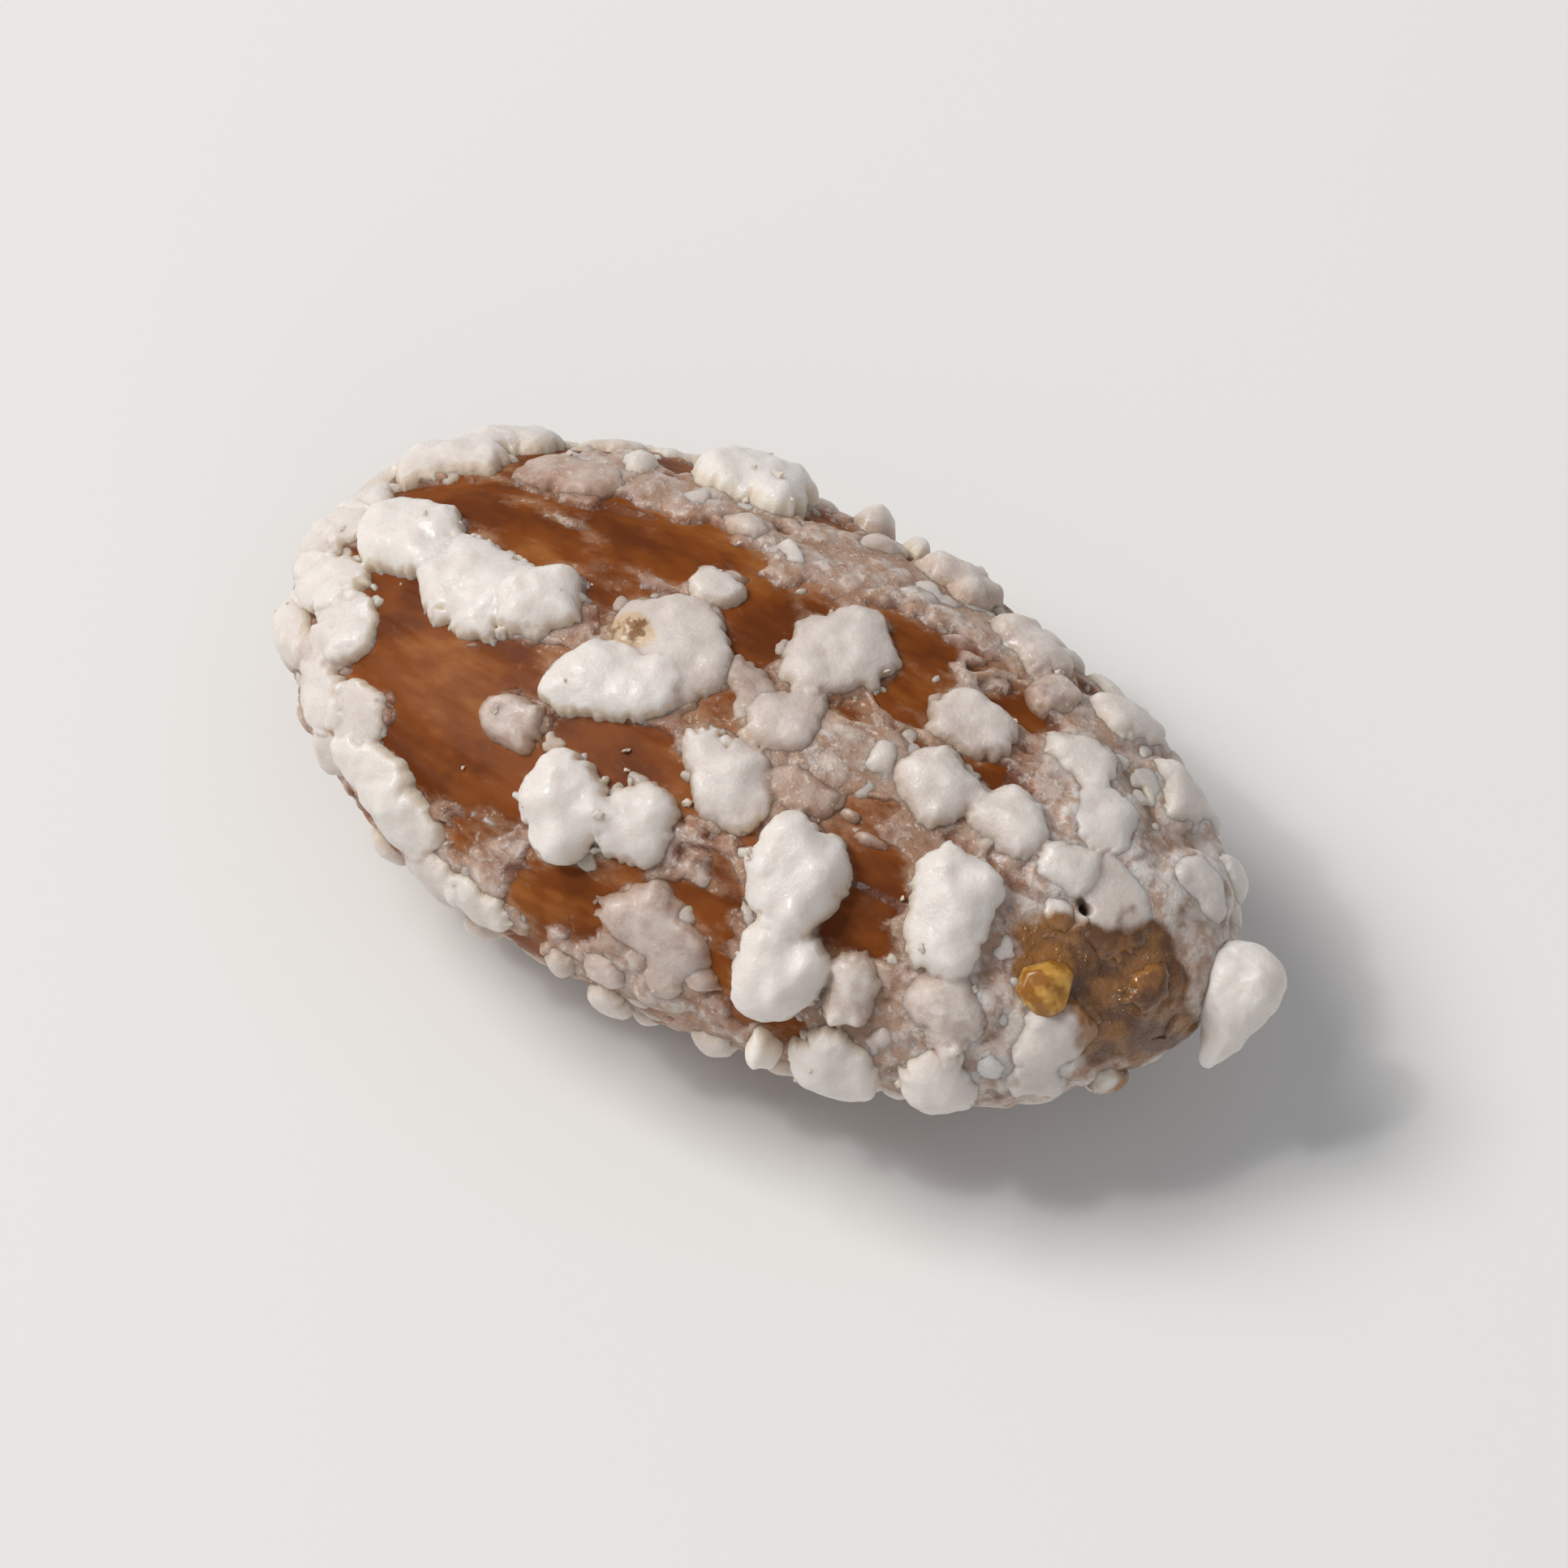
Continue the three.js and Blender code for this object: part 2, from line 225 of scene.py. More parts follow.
def meshArrays(mesh):
    # its points and its triangles as whole arrays
    point = np.empty(len(mesh.vertices) * 3, np.float32)
    mesh.vertices.foreach_get("co", point)
    mesh.calc_loop_triangles()
    triangle = np.empty(len(mesh.loop_triangles) * 3, np.int32)
    mesh.loop_triangles.foreach_get("vertices", triangle)
    return point.reshape(-1, 3).astype(float), triangle.reshape(-1, 3)


def relaxed(point, triangle, share):
    # moves every point this share of the way to the mean of its neighbours
    start, end = np.concatenate([triangle[:, [0, 1]], triangle[:, [1, 2]], triangle[:, [2, 0]]]).T
    count = np.bincount(start, minlength=len(point))[:, None]
    total = np.stack([np.bincount(start, axis[end], len(point)) for axis in point.T], 1)
    return point + share * (total / count - point)


def addAttributes(mesh, values):
    # what a material reads at each point
    for name, value in values.items():
        mesh.attributes.new(name, "FLOAT", "POINT").data.foreach_set("value", value.astype(np.float32))


def makePiece(name, mesh, material, smooth=True):
    mesh.materials.clear()
    mesh.materials.append(material)
    mesh.polygons.foreach_set("use_smooth", np.full(len(mesh.polygons), smooth))
    piece = linked(name, mesh)
    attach(piece, "root")
    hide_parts("candied_almond")


# Sugar lumps

goldenShare = 0.618  # its multiples, less their whole parts, spread evenly from 0 to 1

# on the upper face: place along and across it, length and width on the skin, height above it, turn of
# the long side in degrees, and how chalky the sugar is, from clear 0 to white 1
standingLumps = [
    (-9.8, 0.1, 2.3, 2.1, 0.95, 20, 1.0),
    (-7.6, -0.6, 3.0, 2.2, 0.85, -5, 0.9),
    (-5.8, -0.4, 1.9, 1.7, 0.9, 40, 0.8),
    (-3.1, -1.7, 3.2, 1.9, 0.85, 25, 1.0),
    (-2.3, -0.2, 3.2, 2.6, 0.75, -15, 0.7),
    (-2.6, -4.7, 2.3, 2.2, 1.2, 0, 1.0),
    (-0.8, -4.4, 1.7, 1.5, 0.8, 30, 0.75),
    (0.5, -2.5, 2.7, 1.5, 0.75, -40, 0.75),
    (2.3, -1.9, 1.7, 0.9, 0.4, 20, 0.3),
    (3.2, -3.7, 2.6, 2.2, 1.25, -65, 0.95),
    (3.9, -5.7, 2.2, 2.2, 1.2, 0, 0.95),
    (5.6, -5.2, 1.35, 1.3, 0.75, -60, 0.5),
    (6.9, -2.6, 2.7, 2.3, 1.25, -62, 0.9),
    (7.9, -4.4, 2.1, 1.5, 0.7, 0, 0.4),
    (0.7, -6.2, 2.9, 1.5, 0.6, -12, 0.5),
    (6.0, -6.3, 2.0, 1.6, 0.95, 0, 0.8),
    (8.3, -5.2, 1.8, 1.6, 0.9, -20, 0.7),
    (1.3, 1.9, 2.8, 2.4, 0.75, 60, 0.72),
    (1.1, -0.4, 2.2, 1.3, 0.6, 45, 0.6),
    (-3.3, 5.8, 2.8, 2.3, 1.1, 20, 1.0),
    (5.2, -0.1, 1.9, 1.7, 0.8, 0, 0.65),
    (7.0, 0.0, 1.8, 1.3, 0.75, -10, 0.62),
    (5.0, 1.9, 2.2, 1.6, 0.75, 10, 0.62),
    (7.5, 2.7, 1.4, 1.2, 0.65, 0, 0.64),
    (8.7, -0.2, 1.4, 1.2, 0.65, 30, 0.64),
    (8.8, 1.5, 2.0, 1.5, 0.65, -50, 0.7),
    (10.2, -0.2, 2.3, 2.2, 0.5, 0, 0.58),
    (11.2, 1.6, 1.5, 1.3, 0.6, 20, 0.62),
    (6.1, 4.1, 1.1, 0.9, 0.5, 0, 0.4),
    (2.2, 6.1, 2.2, 1.5, 0.8, 0, 0.5),
    (4.8, 5.1, 2.2, 1.4, 0.8, -10, 0.5),
    (7.6, 4.7, 1.7, 1.5, 0.7, -20, 0.62),
    (9.7, 3.7, 2.0, 1.5, 0.7, -30, 0.62),
    (-4.8, -3.4, 1.3, 1.1, 0.5, 0, 0.5),
    (-2.4, 2.0, 0.9, 0.8, 0.45, 0, 0.8),
    (-10.2, -2.5, 1.9, 1.2, 0.5, 120, 1.0),
    (-8.6, -4.4, 1.6, 1.1, 0.42, 120, 0.9),
    (-10.3, 3.0, 2.8, 1.5, 0.75, 35, 0.8),
    (-7.3, 3.6, 2.4, 1.4, 0.5, 12, 0.4),
    (10.2, -3.5, 2.4, 1.5, 0.7, 42, 0.6),
]

# smaller lumps round the edge of each, sized as shares of it
knobs = {"count": 4, "uneven": 0.6, "size": (0.36, 0.56), "reach": (0.58, 0.22), "high": (0.75, 0.25)}

# round the blunt end, from the far edge to the near one, in degrees from the tip
rim = {
    "from": 112,
    "to": 252,
    "count": 20,
    "long": 2.5,
    "wide": 2.1,
    "high": 0.62,
    "above": 0.27,  # how far over the outline they sit at the end
    "uneven": 0.6,
    "narrowed": 0.82,
    "chalk": 0.7,
    "chalkSpread": 0.3,
}

# under the belly, where the almond rests
belly = {"ring": 4, "along": 3.7, "across": 2.3, "turn": 40, "size": 2.3, "high": 1.25, "chalk": 0.7}

# at the tip
drop = {"long": 3.3, "wide": 1.9, "high": 1.75, "lean": 32, "chalk": 0.9}

# over the rest by the seeded rule, the largest first
spread = {
    "count": 170,
    "largest": 0.86,
    "smallest": 0.46,
    "spacing": 0.96,
    "tries": 60,
    "coverMiddle": 0.55,
    "coverTowardsTip": 0.45,
    "coverMottled": 0.15,
    "upperLoses": 0.85,  # so much of that on the upper face,
    "upperFrom": (0.3, 0.6),  # which starts between these heights of the ball's directions
    "stretch": 0.6,
    "flattest": 0.6,
    "heightSpread": 0.4,
    "chalk": 0.45,
    "chalkSpread": 0.5,
    "seed": 20117,
}

# bare skin on the upper face: middle of each patch and its half sizes
barePatches = [
    (-7.6, -2.6, 3.2, 1.4),
    (-5.2, -4.9, 2.6, 1.3),
    (-8.6, 1.7, 2.7, 0.7),
    (-4.0, 2.8, 2.0, 1.2),
    (-1.4, -2.9, 2.5, 1.0),
    (-1.6, -6.4, 1.9, 0.7),
    (0.9, -4.9, 1.5, 0.8),
    (3.4, -6.6, 2.6, 0.6),
    (5.2, -3.4, 1.1, 1.5),
    (-0.7, 1.7, 1.2, 1.3),
    (3.3, 1.5, 1.2, 0.7),
    (6.2, 1.1, 1.0, 0.5),
    (5.9, 3.4, 1.1, 0.7),
    (3.4, 3.8, 1.3, 0.7),
    (8.0, -0.9, 0.8, 0.6),
    (10.9, -2.1, 1.8, 0.9),
]
bareDepth = 1.15  # 1 for patches that end at their half sizes, more for larger ones
bareEdge = 0.35
bellyBareness = (0.3, 0.7)  # of the mottle, where bare patches of the belly begin and are full


def drawer(seed):
    # Lehmer's generator: each draw is the last one times 16807, modulo a prime
    state = seed

    def draw():
        nonlocal state
        state = state * 16807 % 2147483647
        return state / 2147483647

    return draw


def mottle(point):
    # slow waves over the skin, about -1 to 1: the sum of three sines of mixed axes
    x, y, z = point.T
    return (
        np.sin(0.9 * x + 1.3 * y + 0.5)
        + np.sin(1.2 * y - 1.7 * z - 0.5 * x + 2)
        + np.sin(1.5 * z + 0.7 * x - 0.8 * y + 4)
    ) / 2


def awayFrom(point, patches):
    # how far from the nearest patch's middle a point is, seen from above, as a share of its half sizes
    place = (point - kernelMiddle)[:, :2]
    return np.min([np.hypot(*((place - patch[:2]) / patch[2:]).T) for patch in patches], axis=0)


def bareness(direction):
    # 0 under the film to 1 in the middle of a bare patch: patches above, the mottle below
    point = skinPoint(direction)
    below = smoothStep(mottle(point), *bellyBareness)
    depth = bareDepth - awayFrom(point, barePatches) ** 2
    return np.where(direction[:, 2] < 0, below, smoothStep(depth, 0, bareEdge))


def lumpRow(direction, halfLong, halfWide, high, turn, chalk, joined=0):
    # joined is 1 for a knob, which is one with the lump before it
    return [*direction, halfLong, halfWide, high, turn, chalk, joined]


def measuredRow(along, across, long, wide, high, turn, chalk):
    # a lump of the upper face from its row in a table
    return lumpRow(faceDirection(along, across, 1), long / 2, wide / 2, high, np.radians(turn), chalk)


def standingRows(draw):
    # each measured lump, then the knobs that are thrown round its edge
    nearest, farther = knobs["reach"]
    lowest, higher = knobs["high"]
    rows = []
    for lump in standingLumps:
        rows.append(measuredRow(*lump))
        along, across, long, wide, high, degrees, chalk = lump
        turn = np.radians(degrees)
        size = np.sqrt(long * wide) / 2
        for i in range(knobs["count"]):
            angle = 2 * np.pi * (i + knobs["uneven"] * draw()) / knobs["count"]
            reach = (nearest + farther * draw()) / 2
            share = between(knobs["size"], draw())
            rise = min(high, size * share) * (lowest + higher * draw())
            a = reach * np.cos(angle) * long
            b = reach * np.sin(angle) * wide
            x = along + a * np.cos(turn) - b * np.sin(turn)
            y = across + a * np.sin(turn) + b * np.cos(turn)
            rows.append(lumpRow(faceDirection(x, y, 1), size * share, size * share, rise, 0, chalk, 1))
    return rows


def rimRows(draw):
    rows = []
    for i in range(rim["count"]):
        angle = np.radians(rim["from"] + (rim["to"] - rim["from"]) * i / (rim["count"] - 1))
        uneven = 1 + rim["uneven"] * (draw() - 0.5)
        up = rim["above"] * -np.cos(angle) * (0.3 + 1.4 * draw())
        direction = np.array([np.cos(angle), np.sin(angle), up])
        direction /= np.linalg.norm(direction)
        halfWide = rim["narrowed"] * rim["wide"] / 2 * np.sqrt(uneven)
        chalk = rim["chalk"] + rim["chalkSpread"] * (i * goldenShare % 1)
        rows.append(lumpRow(direction, rim["long"] / 2 * uneven, halfWide, rim["high"] * uneven, 0, chalk))
    return rows


def bellyRows():
    rows = []
    for i in range(belly["ring"] + 1):
        angle = 2 * np.pi * i / belly["ring"] + np.radians(belly["turn"])
        reach = 1 if i < belly["ring"] else 0  # the last one lies under the middle
        along = reach * belly["along"] * np.cos(angle) - kernelMiddle[0]
        across = reach * belly["across"] * np.sin(angle) - kernelMiddle[1]
        half = belly["size"] / 2
        place = faceDirection(along, across, -1)
        rows.append(lumpRow(place, half, half, belly["high"], 0, belly["chalk"]))
    return rows


def thrown(draw):
    # a direction drawn evenly over the ball
    x = 2 * draw() - 1
    angle = 2 * np.pi * draw()
    across = np.sqrt(1 - x * x)
    return np.array([[x, across * np.cos(angle), across * np.sin(angle)]])


def spreadRows(draw, taken):
    # thrown at random, and kept where the skin isn't bare and no other lump is too near
    point = [skinPoint(np.array([row[:3]]))[0] for row in taken]
    radius = [np.sqrt(row[3] * row[4]) for row in taken]
    rows = []
    for i in range(spread["count"]):
        shrink = (spread["smallest"] / spread["largest"]) ** (i / (spread["count"] - 1))
        size = spread["largest"] * shrink
        for _ in range(spread["tries"]):
            direction = thrown(draw)
            chance = draw()
            place = skinPoint(direction)
            share = spread["coverMiddle"] + spread["coverTowardsTip"] * direction[0, 0]
            share += spread["coverMottled"] * mottle(place)[0]
            lost = spread["upperLoses"] * smoothStep(direction[0, 2], *spread["upperFrom"])
            cover = share * (1 - bareness(direction)[0]) * (1 - lost)
            gap = np.linalg.norm(np.array(point) - place, axis=1)
            if chance > cover or (gap < spread["spacing"] * (size + np.array(radius))).any():
                continue
            stretch = np.sqrt(1 + spread["stretch"] * draw())
            turn = np.pi * draw()
            high = size * (spread["flattest"] + spread["heightSpread"] * draw())
            point.append(place[0])
            radius.append(size)
            chalk = spread["chalk"] + spread["chalkSpread"] * (i * goldenShare % 1)
            rows.append(lumpRow(direction[0], size * stretch, size / stretch, high, turn, chalk))
            break
    return rows


tipCrust = {"from": 5.6, "to": 8.8, "thickness": 0.34}  # sugar that lies under the lumps at the tip


def tipCover(point):
    # how thick it is over a point of the skin
    return tipCrust["thickness"] * smoothStep(point[:, 0] - kernelMiddle[0], tipCrust["from"], tipCrust["to"])


def lumpArrays(rows):
    # each lump's middle on the skin or the tip's crust, its axes there, its half sizes and height, and
    # its chalkiness
    rows = np.array(rows)
    direction = rows[:, :3]
    normal = skinNormal(direction)
    middle = skinPoint(direction)
    lengthwise = np.array([1.0, 0, 0]) - normal * normal[:, :1]
    lengthwise = np.where((lengthwise**2).sum(1, keepdims=True) < 1e-3, [[0.0, 1, 0]], lengthwise)
    lengthwise = unit(lengthwise)
    sideways = np.cross(normal, lengthwise)
    turn = rows[:, 6:7]
    longAxis = lengthwise * np.cos(turn) + sideways * np.sin(turn)
    return {
        "middle": middle + normal * tipCover(middle)[:, None],
        "axes": np.stack([longAxis, np.cross(normal, longAxis), normal], 1),
        "half": rows[:, 3:6],
        "chalk": rows[:, 7],
        "joined": rows[:, 8],
    }


draw = drawer(spread["seed"])
placed = standingRows(draw) + rimRows(draw) + bellyRows()
lean = np.radians(drop["lean"])
placed.append(lumpRow([1, 0, 0], drop["long"] / 2, drop["wide"] / 2, drop["high"], lean, drop["chalk"]))
dropNumber = len(placed) - 1
lumpRows = placed + spreadRows(draw, placed)
lumps = lumpArrays(lumpRows)
print(f"sugar lumps placed: {len(lumps['chalk'])}")


# The veil: how much sugar hides the skin between the lumps

veil = {
    "upper": 0.42,  # share hidden outside the bare patches of the upper face
    "towardsTip": 0.3,  # more at the tip, less at the blunt end
    "edge": 0.25,  # more round the outline
    "skirt": 0.35,  # how far it spreads from a lump's foot
    "skirtAdds": 0.35,
    "frostAdds": 0.5,
    "uneven": 0.6,
    "unevenSize": 1.3,
    "bend": 0.55,  # how far noise moves the patches' edges
    "bendSize": 1.1,
    "bendLengthwise": 1.8,
    "drawnOut": 0.4,  # places along the kernel shrink to this, which draws the noise out
    "bareLoses": 0.8,
    "fine": 0.3,
    "fineSize": 0.35,
}

# whitish patches of thicker film on the upper face: middle and half sizes
frostPatches = [
    (-6.6, 4.2, 1.6, 0.9),
    (-4.9, 4.5, 1.4, 1.1),
    (-0.5, 4.2, 2.2, 1.2),
    (2.9, 4.7, 2.0, 0.8),
    (0.8, -4.4, 1.3, 0.7),
    (3.1, -0.4, 1.5, 0.9),
    (-3.9, -6.0, 1.8, 0.6),
    (1.5, -7.0, 4.0, 0.7),
    (4.4, 3.5, 1.0, 0.7),
    (9.8, 1.0, 2.4, 2.6),
    (9.6, -4.0, 1.8, 0.9),
]


# stains in the sugar of the upper face, and a small hole in it: middle and half sizes
spots = {
    "syrup": [(10.5, -2.2, 1.9, 1.15), (11.7, -1.4, 1.4, 1.2)],
    "amber": [(9.6, -2.6, 1.0, 0.95)],
    "toasted": [(-3.3, -0.3, 0.7, 0.45)],
    "pit": [(9.6, -0.8, 0.13, 0.12)],
}
pitDepth = 0.45
patchEdge = (1.3, 0.6)  # shares of the half sizes where a patch begins and is full


def frostAt(direction):
    # 0 outside the patches to 1 in their middles, their edges bent by noise
    point = skinPoint(direction)
    bend = 0.5 * roughNoise(point, 0.9, 3, 91)
    return np.where(direction[:, 2] < 0, 0, smoothStep(awayFrom(point, frostPatches) + bend, *patchEdge))


def spotsAt(point, rows):
    # 1 inside each spot and 0 outside, with the distance from its middle bent by noise
    bend = 0.45 * roughNoise(point, 0.7, 3, 81)
    return smoothStep(awayFrom(point, rows) + bend, *patchEdge) * (point[:, 2] > kernelMiddle[2] - 1)


def nearLumps(point):
    # 1 at the foot of a lump, 0 beyond its skirt
    near = np.zeros(len(point))
    for middle, axes, half in zip(lumps["middle"], lumps["axes"], lumps["half"]):
        close = np.flatnonzero((np.abs(point - middle) < half[:2].max() + veil["skirt"]).all(1))
        offset = (point[close] - middle) @ axes[:2].T / (half[:2] + veil["skirt"])
        near[close] = np.maximum(near[close], smoothStep(np.linalg.norm(offset, axis=1), 1, 0.65))
    return near


def veilAt(direction):
    # the bare patches with their edges bent by noise, the lumps' skirts, and noise drawn out lengthwise
    point = skinPoint(direction)
    drawnOut = point * [veil["drawnOut"], 1, 1]
    bend = noiseVector(drawnOut, veil["bendSize"], 3, 40, 5)
    bare = bareness(unit(direction + veil["bend"] * bend * [veil["bendLengthwise"], 1, 1] / kernelHalf))
    share = veil["upper"] + veil["towardsTip"] * direction[:, 0]
    share += veil["edge"] * smoothStep(np.abs(direction[:, 2]), 0.5, 0.1)
    share += veil["uneven"] * roughNoise(drawnOut, veil["unevenSize"], 4, 61)
    share = share * (1 - veil["bareLoses"] * bare) + veil["skirtAdds"] * nearLumps(point)
    share += veil["frostAdds"] * frostAt(direction)
    return np.clip(share + veil["fine"] * roughNoise(drawnOut, veil["fineSize"], 2, 67), 0, 1)


def addSugarLook(mesh, point, direction, standing, inside, chalk):
    # what the sugar's material reads: how far it stands off the skin, how far inside a lump's outline it
    # is, how chalky it is, how hazy the skin under it is, and the spots
    values = {"standing": standing, "inside": inside, "chalk": chalk, "veil": veilAt(direction)}
    addAttributes(mesh, {**values, **{name: spotsAt(point, rows) for name, rows in spots.items()}})


# The lumps and the film: heights over the skin, worked out on a fine grid of its directions

relief = {
    "rings": 720,
    "around": 600,
    "crowded": 0.4,  # how much finer the grid is on the upper side
    "bend": 0.3,  # lumps' outlines are bent by noise of this size,
    "bendSize": 1.1,
    "lobes": 0.2,  # then scalloped by cells of these sizes, less on lumps narrower than fullHalf
    "lobeSize": 0.55,
    "teeth": 0.3,
    "toothSize": 0.25,
    "cellMean": 0.55,  # of the distance from a cell's middle
    "fullHalf": 0.9,
    "flatShrinks": 0.45,  # share of height that the flattest lumps lose
    "angular": (0.95, 0.12),  # 0 for round lumps, 1 for many-sided ones: for the smallest and the largest
    "sides": 7,
    "tipFlattens": 0.15,  # share of height that lumps lose at the tip
    "knobBlend": 0.85,  # fills the creases between a lump's outline and its knobs'
    "drawnIn": 0.1,  # all outlines, which the joining makes wider
    "lip": 0.1,  # height starts this far outside the outline of a chalky lump
    "cliff": 0.09,  # a lump's side rises over this distance from its outline,
    "cliffClear": 0.22,  # and over this much more where it is clear
    "dip": 0.16,  # how far the lumps' surface runs under the skin between them
    "swell": 0.09,  # slow waves on their tops,
    "swellShare": 0.15,  # higher by this share of a lump's height
    "swellSize": 0.75,
    "grain": 0.024,
    "grainSize": 0.3,
    "onCrust": 0.9,  # share of the tip's crust that they are raised by
    "smoothed": 0.3,
    "triangles": 194000,
    "satellites": 4,  # chips round the foot of each lump
    "satelliteSize": (0.1, 0.3),
    "smallCount": 420,  # chips between the lumps
    "smallRadius": (0.14, 0.42),
    "smallChalk": 0.75,
    "smallSeed": 5,
}

film = {
    "rings": 480,
    "around": 440,
    "from": 0.6,  # share of the veil above which it stands over the skin
    "thickness": 0.06,  # at least
    "chip": 0.11,  # more, by this much at most, on each of the angular chips that it is cracked into
    "chipSize": 0.75,
    "crack": 0.3,
    "mound": 0.2,  # low swellings in the whitish patches
    "moundSize": 1.2,
    "tipThins": 0.75,  # share of all this that is lost in the crust at the tip
    "tipUneven": 0.4,
    "tipSwell": 0.2,  # round swellings in that crust
    "tipSwellSize": 1.15,
    "tipSkirt": 0.18,  # its rise beside the lumps there
    "syrupSmooths": 0.8,
    "dip": 0.1,
    "smoothed": 0.4,
    "triangles": 190000,
}

# low scraps on the upper face, with the columns of the standing lumps
scraps = [
    (0.0, 0.0, 2.6, 1.2, 0.36, -20, 0.55),
    (3.7, -1.9, 0.75, 0.6, 0.4, 0, 0.5),
    (4.4, -2.2, 1.3, 0.5, 0.25, 25, 0.45),
    (2.0, -6.4, 1.5, 0.9, 0.4, -25, 0.45),
]


def satelliteRows(rows):
    # small flat lumps thrown round the foot of each lump by numpy's seeded draw
    random = np.random.default_rng(relief["smallSeed"])
    parent = lumpArrays([row for row in rows if row[8] == 0])
    count = (len(parent["chalk"]), relief["satellites"])
    angle = 2 * np.pi * random.random(count)
    reach = 0.85 + 0.35 * random.random(count)
    size = between(relief["satelliteSize"], random.random(count) ** 1.5)
    flat = np.stack([np.cos(angle) * reach, np.sin(angle) * reach, np.zeros(count)], -1)
    offset = np.einsum("nmi,nij->nmj", flat * parent["half"][:, None], parent["axes"])
    place = parent["middle"][:, None] + offset
    direction = nearestSkin(place.reshape(-1, 3))[0]
    size = size.ravel()
    long = size * (1 + 0.7 * random.random(size.shape))
    rise = size * (0.3 + 0.4 * random.random(size.shape))
    chalk = np.repeat(parent["chalk"], relief["satellites"])
    turn = np.pi * random.random(size.shape)
    return np.column_stack([direction, long, size, rise, turn, chalk, np.zeros(size.shape)])


def smallRows():
    # small lumps thrown by a second draw, more of them towards the tip and few on bare skin
    draw = drawer(relief["smallSeed"])
    rows = []
    while len(rows) < relief["smallCount"]:
        direction = thrown(draw)
        size = between(relief["smallRadius"], draw() ** 2)
        share = (0.4 + 0.6 * direction[0, 0]) * (1 - 0.93 * bareness(direction)[0])
        if draw() > share:
            continue
        long = size * (1 + 0.7 * draw())
        rise = size * (0.3 + 0.4 * draw())
        rows.append(lumpRow(direction[0], long, size, rise, 3 * draw(), relief["smallChalk"]))
    return rows


def lumpCorners(count):
    # for each lump the directions that its sides face, unevenly spread, divided by their distances from
    # its middle as shares of its half size
    random = np.random.default_rng(relief["smallSeed"])
    sides = relief["sides"]
    facing = np.arange(sides) + 0.7 * random.random((count, sides))
    angle = 2 * np.pi * (facing + random.random((count, 1))) / sides
    away = 0.84 + 0.26 * random.random((count, sides))
    return np.stack([np.cos(angle), np.sin(angle)], -1) / away[:, :, None]


def joinedHigher(a, b, blend):
    # the higher of the two, with the crease between them filled by at most a quarter of the blend
    return np.maximum(a, b) + blend / 4 * np.clip(1 - np.abs(a - b) / blend, 0, 1) ** 2


